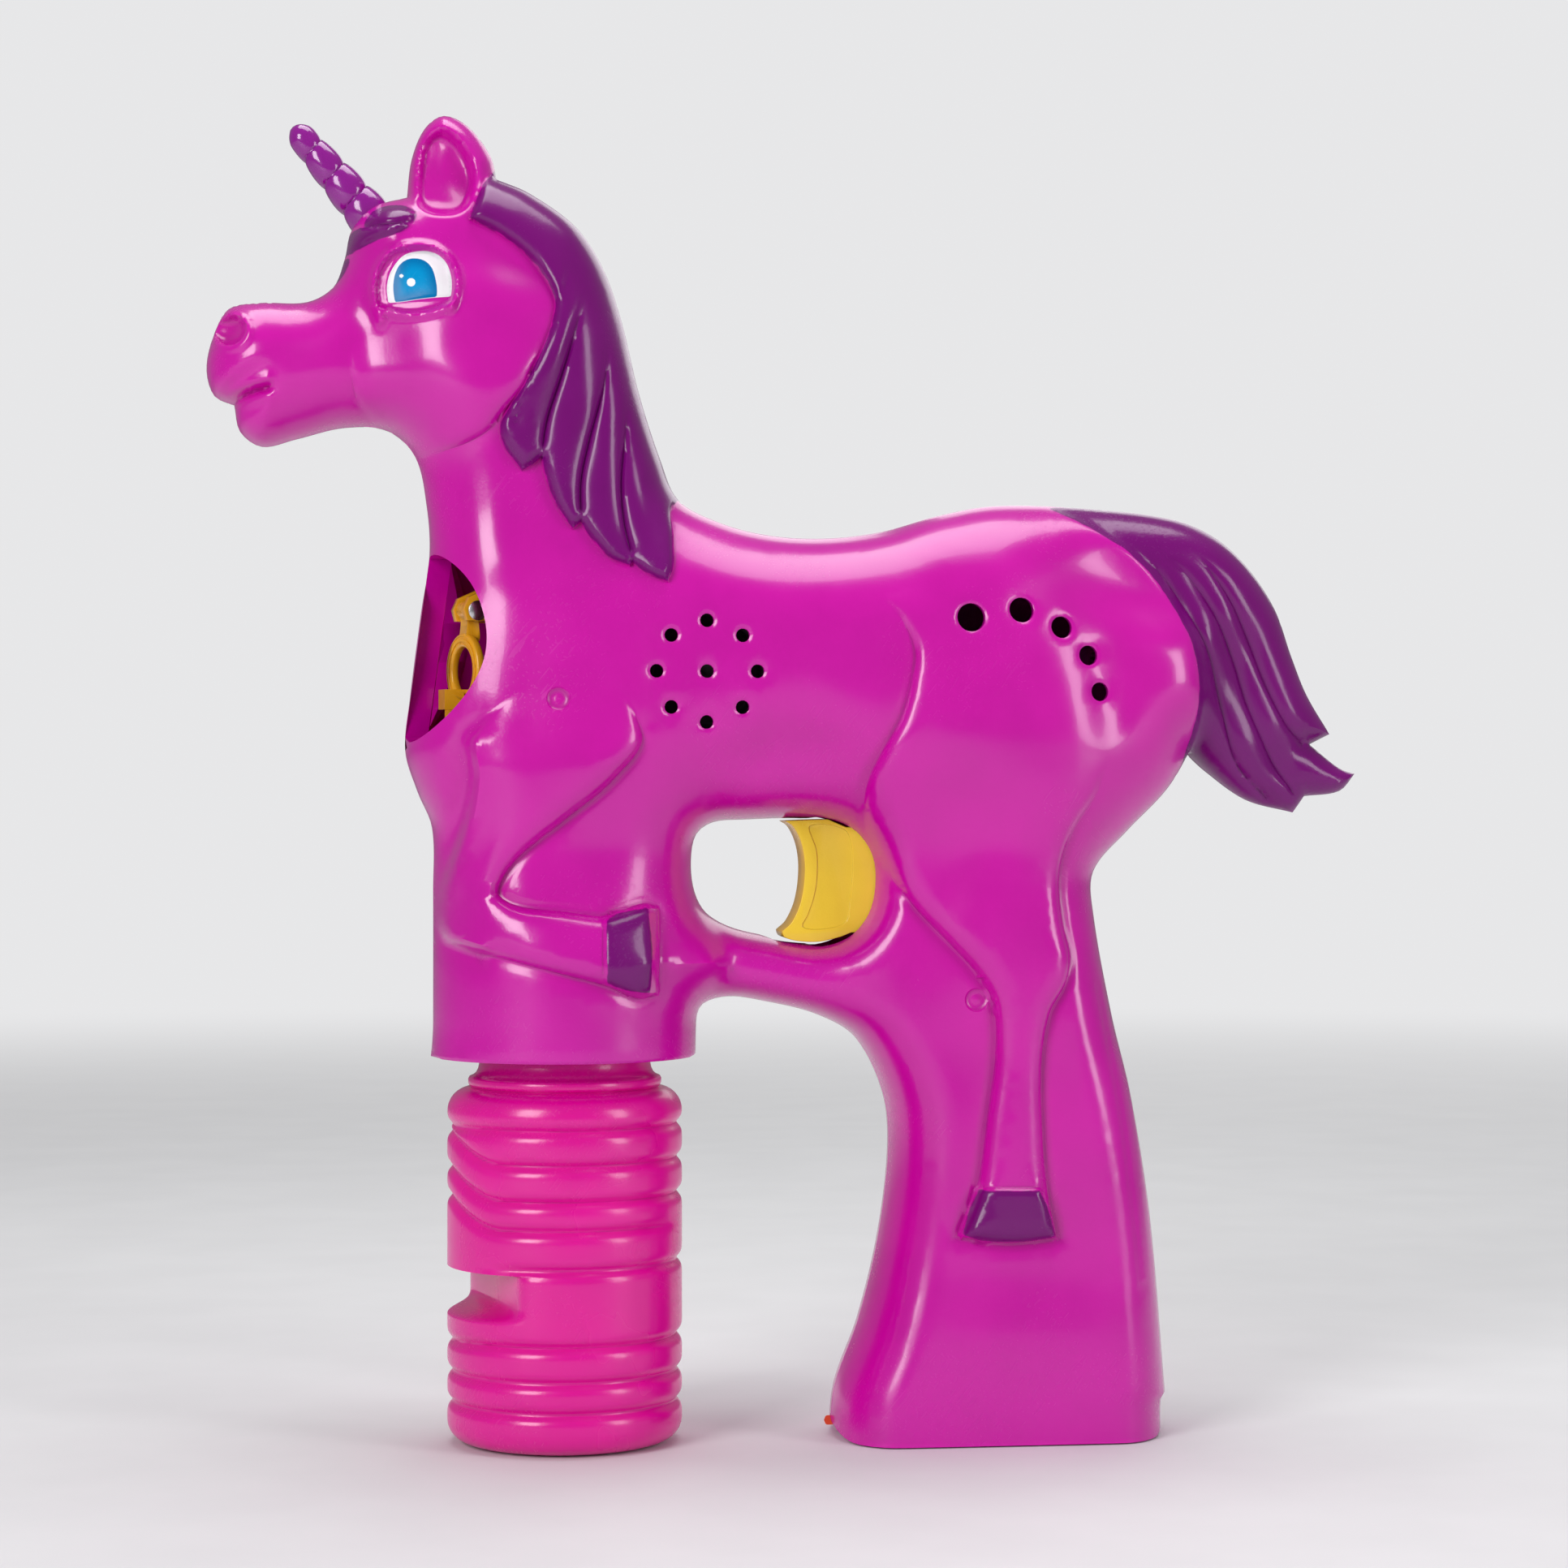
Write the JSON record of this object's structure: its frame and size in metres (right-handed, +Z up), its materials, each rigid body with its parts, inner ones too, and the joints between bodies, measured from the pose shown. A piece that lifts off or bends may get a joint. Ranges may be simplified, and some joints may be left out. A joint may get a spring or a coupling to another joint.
{
  "type": "bubble blower",
  "caption": "Unicorn-shaped battery bubble blower with a trigger, a tipping bubble ring in its chest, a motor-driven fan and pump, and a screw-in solution bottle.",
  "frame": {"origin": "on the floor that the bottle and the grip stand on, under the middle of the toy", "axes": "+X towards the tail, +Y towards the toy's right side, +Z up"},
  "size_m": [0.2235, 0.0546, 0.2532],
  "materials": {
    "casing": "glossy moulded magenta, with purple spray paint on mane, tail and hooves",
    "horn": "glossy moulded purple",
    "bottle": "glossy blow-moulded hot pink",
    "white_plastic": "plain moulded white",
    "yellow_plastic": "satin moulded yellow",
    "silicone": "translucent grey",
    "steel": "zinc plated",
    "brass": "machined",
    "grey_plastic": "plain moulded grey",
    "black_plastic": "plain moulded black",
    "battery": "plain unprinted sleeve",
    "tab": "red film",
    "board": "green lacquer"
  },
  "bodies": {
    "casing": {"left_casing": "casing", "right_casing": "casing", "horn": "horn", "bottle_socket": "white_plastic", "fan_housing": "white_plastic", "gear_frame": "white_plastic", "pump_housing": "white_plastic", "drip_funnel": "yellow_plastic", "air_nozzle": "yellow_plastic", "dip_tube": "silicone", "solution_hose": "silicone", "wand_pin": "steel", "motor": "steel", "idler_pin": "steel", "trigger_spring": "steel", "contact_plate": "steel", "case_screw_1": "steel", "case_screw_2": "steel", "case_screw_3": "steel", "case_screw_4": "steel", "case_screw_5": "steel", "case_screw_6": "steel", "trigger_switch": "black_plastic", "speaker": "black_plastic", "battery_1": "battery", "battery_2": "battery", "battery_3": "battery", "sound_board": "board"},
    "trigger": {"trigger": "yellow_plastic", "trigger_link": "yellow_plastic"},
    "wand": {"bubble_wand": "yellow_plastic"},
    "fan": {"fan": "grey_plastic", "motor_shaft": "steel", "motor_pinion": "brass"},
    "idler": {"idler_gear": "white_plastic"},
    "pump": {"pump_gear": "white_plastic", "pump_rotor": "grey_plastic"},
    "seal": {"bottle_seal": "silicone"},
    "bottle": {"bottle": "bottle"},
    "door": {"battery_door": "casing", "door_screw": "steel", "door_contacts": "steel", "battery_spring_1": "steel", "battery_spring_2": "steel", "battery_spring_3": "steel"},
    "tab": {"pull_tab": "tab"}
  },
  "joints": [
    {"name": "trigger_pull", "type": "slide", "parent": "casing", "child": "trigger", "axis": [1, 0, 0], "range_m": [0, 0.0055], "stiffness_N_per_m": 500, "springref_m": -0.005, "deforming": ["trigger_spring"]},
    {"name": "wand_swing", "type": "hinge", "parent": "casing", "child": "wand", "pos_m": [-0.062, 0, 0.1586], "axis": [0.2672, -0.9636, 0], "range_deg": [0, 15]},
    {"name": "fan_spin", "type": "hinge", "parent": "casing", "child": "fan", "pos_m": [-0.0276, 0.003, 0.147], "axis": [1, 0, 0], "continuous": true},
    {"name": "idler_spin", "type": "hinge", "parent": "casing", "child": "idler", "pos_m": [0.0054, -0.0055, 0.13867], "axis": [1, 0, 0], "continuous": true},
    {"name": "pump_spin", "type": "hinge", "parent": "casing", "child": "pump", "pos_m": [0.0102, 0.003, 0.147], "axis": [1, 0, 0], "continuous": true},
    {"name": "bottle_turn", "type": "hinge", "parent": "casing", "child": "seal", "pos_m": [-0.0438, 0, 0.0913], "axis": [0, 0, -1], "range_deg": [0, 720]},
    {"name": "bottle_drop", "type": "slide", "parent": "seal", "child": "bottle", "axis": [0, 0, -1], "range_m": [0, 0.0081]},
    {"name": "battery_door_off", "type": "slide", "parent": "casing", "child": "door", "axis": [0, 0, -1], "range_m": [0, 0.02]},
    {"name": "tab_pull", "type": "slide", "parent": "casing", "child": "tab", "axis": [-1, 0, 0], "range_m": [0, 0.0065]}
  ],
  "couplings": [
    {"joint": "wand_swing", "follows": "trigger_pull", "rad_per_m": 46.107},
    {"joint": "idler_spin", "follows": "fan_spin", "ratio": -0.41667},
    {"joint": "pump_spin", "follows": "fan_spin", "ratio": 0.17361},
    {"joint": "bottle_drop", "follows": "bottle_turn", "m_per_rad": 0.00063662}
  ]
}
